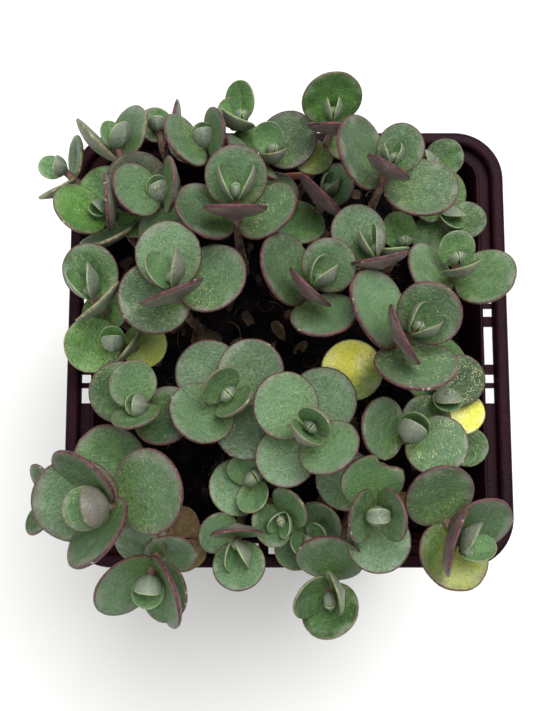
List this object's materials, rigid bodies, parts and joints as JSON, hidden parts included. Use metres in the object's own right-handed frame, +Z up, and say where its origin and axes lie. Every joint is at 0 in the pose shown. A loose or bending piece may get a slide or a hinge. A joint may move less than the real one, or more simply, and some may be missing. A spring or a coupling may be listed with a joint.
{
  "type": "potted lime zinger sedum",
  "caption": "Low succulent plant with thin stems of round, thick, red-edged leaves, growing in potting soil in a square plastic nursery pot.",
  "frame": {"origin": "middle of the pot's flat underside", "axes": "+Z up out of the pot, -Y the side nearest the camera, +X to the right"},
  "size_m": [0.0982, 0.1066, 0.1229],
  "materials": {
    "pot_plastic": "dark plum polypropylene, faintly pebbled, low gloss",
    "potting_soil": "damp crumbly peat and bark, matt",
    "leaf_green": "waxy blue-green leaf with a bloom, purple-red edge, soft sheen",
    "leaf_fresh": "waxy bright green young leaf, soft sheen"
  },
  "bodies": {
    "root": {"pot": "pot_plastic", "soil": "potting_soil", "shoot_far_left": "leaf_green", "shoot_back_left_corner": "leaf_green", "shoot_back_left_small": "leaf_green", "shoot_back_left": "leaf_green", "shoot_back_bright": "leaf_fresh", "shoot_back_centre": "leaf_green", "shoot_back_purple": "leaf_green", "shoot_back_top": "leaf_fresh", "shoot_back_right": "leaf_green", "shoot_back_right_low": "leaf_green", "shoot_right_low": "leaf_green", "shoot_behind_middle": "leaf_green", "shoot_middle_right": "leaf_green", "shoot_curled": "leaf_green", "shoot_right": "leaf_green", "shoot_centre_back": "leaf_green", "shoot_centre_right": "leaf_green", "shoot_right_dark": "leaf_green", "shoot_front_right_middle": "leaf_green", "shoot_left_centre": "leaf_green", "shoot_left_back": "leaf_green", "shoot_left_bright": "leaf_fresh", "shoot_left_middle": "leaf_green", "shoot_left_lime": "leaf_fresh", "shoot_left_front": "leaf_green", "shoot_centre_left": "leaf_green", "shoot_centre_front": "leaf_green", "shoot_front_middle_left": "leaf_green", "shoot_front_left_small": "leaf_green", "shoot_front_tiny_left": "leaf_green", "shoot_front_tiny_right": "leaf_green", "shoot_front_right": "leaf_green", "shoot_right_front_corner": "leaf_green", "shoot_front_edge": "leaf_green", "shoot_front_left_edge": "leaf_green", "shoot_left_front_corner": "leaf_green", "shoot_left_low": "leaf_green", "shoot_right_low_middle": "leaf_green"}
  },
  "joints": []
}
